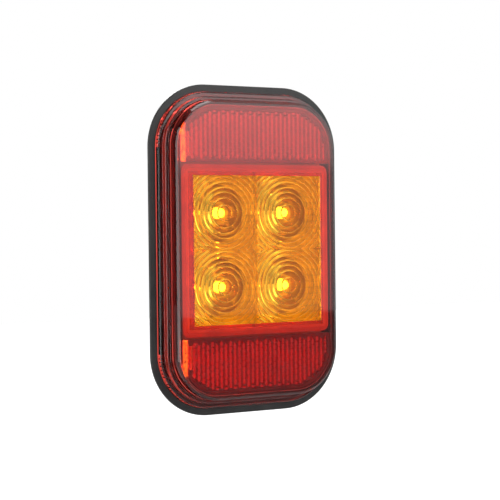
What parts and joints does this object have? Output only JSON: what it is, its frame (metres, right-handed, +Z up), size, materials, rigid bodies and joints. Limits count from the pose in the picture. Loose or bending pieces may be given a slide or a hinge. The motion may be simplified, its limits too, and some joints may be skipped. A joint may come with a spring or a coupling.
{
  "type": "trailer tail light",
  "caption": "Rectangular LED rear lamp with a stepped red lens, an amber ringed indicator panel and reflex reflectors above and below it.",
  "frame": {"origin": "middle of the mounting face, between the two mounting studs, where the gasket meets the panel", "axes": "+Z up along the lamp's height, +X to the viewer's right when facing the lens, +Y out of the back along the studs, so the lens faces -Y"},
  "size_m": [0.086, 0.0307, 0.13],
  "materials": {
    "red_lens": "transparent red moulded plastic, polished",
    "amber_optic": "transparent amber moulded plastic, polished",
    "red_reflex": "transparent red plastic with moulded prisms",
    "black_housing": "black moulded plastic, satin",
    "gasket_rubber": "black foam rubber",
    "stud_steel": "zinc plated steel",
    "weld_bead": "dark sealing bead",
    "reflex_cover": "grey moulded plastic",
    "frame_white": "off-white moulded plastic",
    "board_white": "white solder mask on glass-fibre board",
    "screw_steel": "zinc plated steel",
    "thermal_gel": "soft grey-blue gap pad",
    "spreader_aluminium": "mill finish",
    "led_package": "white ceramic",
    "led_silicone": "clear silicone dome, lit amber",
    "chip_plastic": "black moulded epoxy",
    "capacitor_ceramic": "tan ceramic",
    "ferrite": "dark grey ferrite",
    "resistor_black": "black coated ceramic",
    "socket_plastic": "black moulded plastic",
    "seal_silicone": "orange-brown silicone rubber",
    "tinned_blade": "tin plated",
    "membrane": "white breathing membrane",
    "vent_plastic": "black moulded plastic"
  },
  "bodies": {
    "root": {"mounting_gasket": "gasket_rubber", "back_housing": "black_housing", "upper_mounting_stud": "stud_steel", "lower_mounting_stud": "stud_steel", "lens_seal": "weld_bead", "outer_lens": "red_lens", "amber_optic_panel": "amber_optic", "upper_reflex_plate": "red_reflex", "lower_reflex_plate": "red_reflex", "upper_reflex_backing": "reflex_cover", "lower_reflex_backing": "reflex_cover", "light_frame": "frame_white", "led_board": "board_white", "board_screws": "screw_steel", "thermal_pad": "thermal_gel", "heat_spreader": "spreader_aluminium", "upper_left_led": "led_package", "upper_right_led": "led_package", "lower_left_led": "led_package", "lower_right_led": "led_package", "upper_left_led_dome": "led_silicone", "upper_right_led_dome": "led_silicone", "lower_left_led_dome": "led_silicone", "lower_right_led_dome": "led_silicone", "surge_suppressor": "chip_plastic", "polarity_diode": "chip_plastic", "input_capacitor": "capacitor_ceramic", "led_driver_chip": "chip_plastic", "power_inductor": "ferrite", "output_capacitor": "capacitor_ceramic", "sense_resistor": "resistor_black", "inlet_socket": "socket_plastic", "socket_seal": "seal_silicone", "supply_terminal": "tinned_blade", "ground_terminal": "tinned_blade", "breather_membrane": "membrane", "breather_cap": "vent_plastic"}
  },
  "joints": []
}
